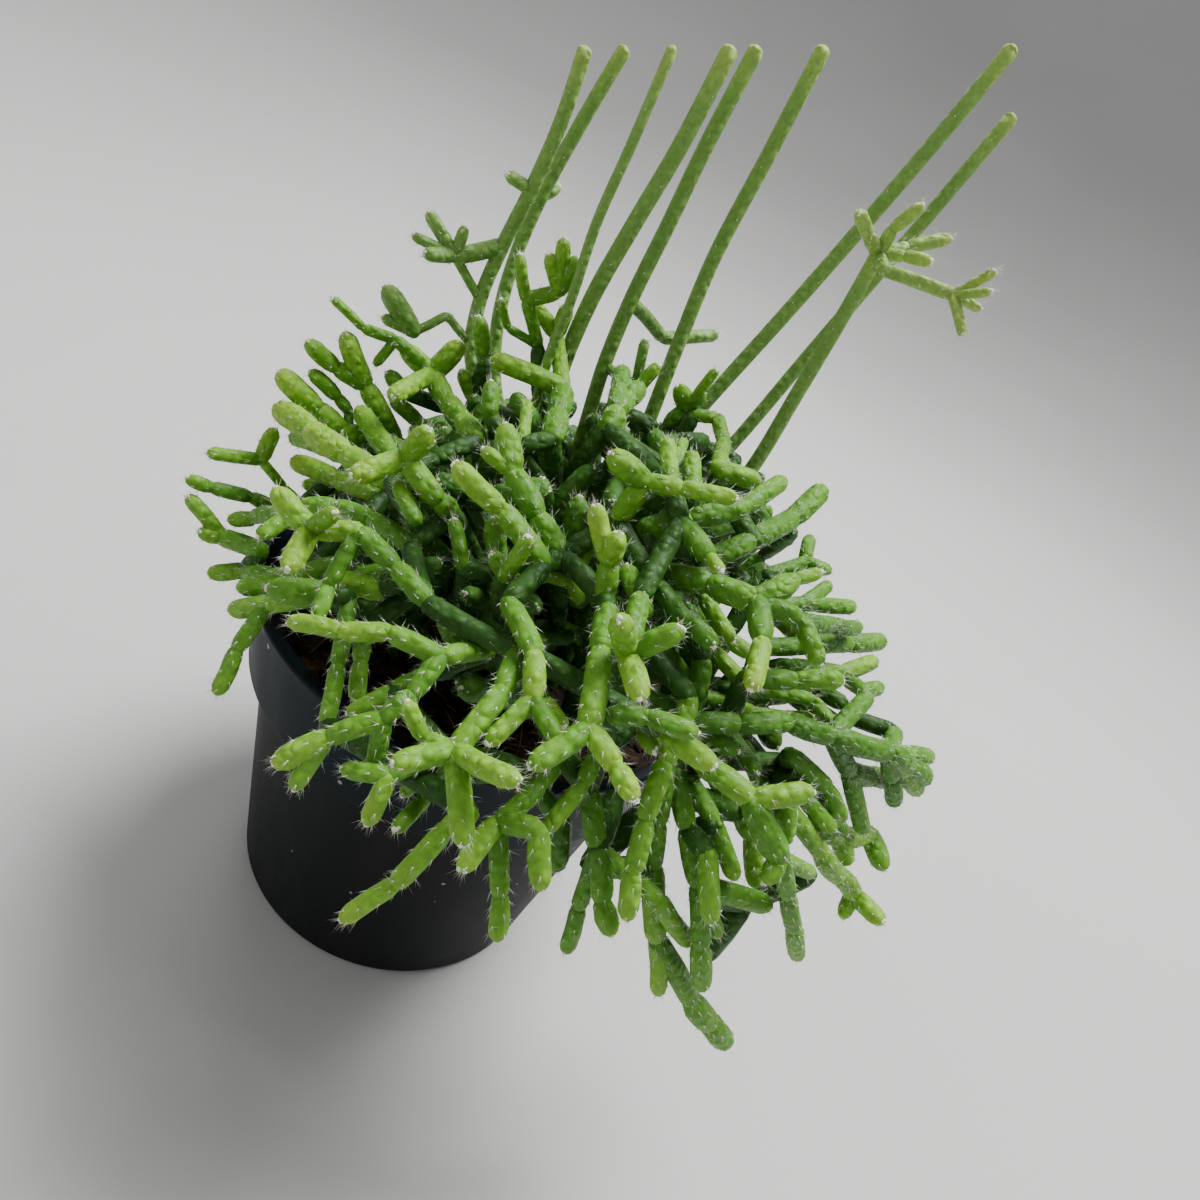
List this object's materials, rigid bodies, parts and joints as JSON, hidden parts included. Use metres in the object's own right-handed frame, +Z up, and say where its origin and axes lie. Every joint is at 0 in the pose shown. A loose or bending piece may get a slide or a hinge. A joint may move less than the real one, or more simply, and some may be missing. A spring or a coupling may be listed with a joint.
{
  "type": "potted rhipsalis cereuscula",
  "caption": "Round black plastic nursery pot of dark soil with a coral cactus: a mound of short jointed branchlets and long thin upright stems.",
  "frame": {"origin": "middle of the pot's base, on the surface it stands on", "axes": "+Z up along the pot's axis, -Y towards the side that the picture shows, +X to the right of that side"},
  "size_m": [0.175, 0.1624, 0.2512],
  "materials": {
    "pot": "satin moulded black plastic",
    "soil": "dark fibrous peat mix, matt",
    "bark": "rough red-brown bark, matt",
    "stem": "smooth waxy green skin",
    "spray": "waxy green skin with pale woolly dots"
  },
  "bodies": {
    "root": {"pot": "pot", "soil": "soil", "bark": "bark", "stem_1": "stem", "stem_2": "stem", "stem_3": "stem", "stem_4": "stem", "stem_5": "stem", "stem_6": "stem", "stem_7": "stem", "stem_8": "stem", "stem_9": "stem", "spray_1": "spray", "spray_2": "spray", "spray_3": "spray", "spray_4": "spray", "spray_5": "spray", "spray_6": "spray", "spray_7": "spray", "spray_8": "spray", "spray_9": "spray", "spray_10": "spray", "spray_11": "spray", "spray_12": "spray", "spray_13": "spray", "spray_14": "spray", "spray_15": "spray", "spray_16": "spray", "spray_17": "spray", "spray_18": "spray", "spray_19": "spray", "spray_20": "spray", "spray_21": "spray", "spray_22": "spray"}
  },
  "joints": []
}
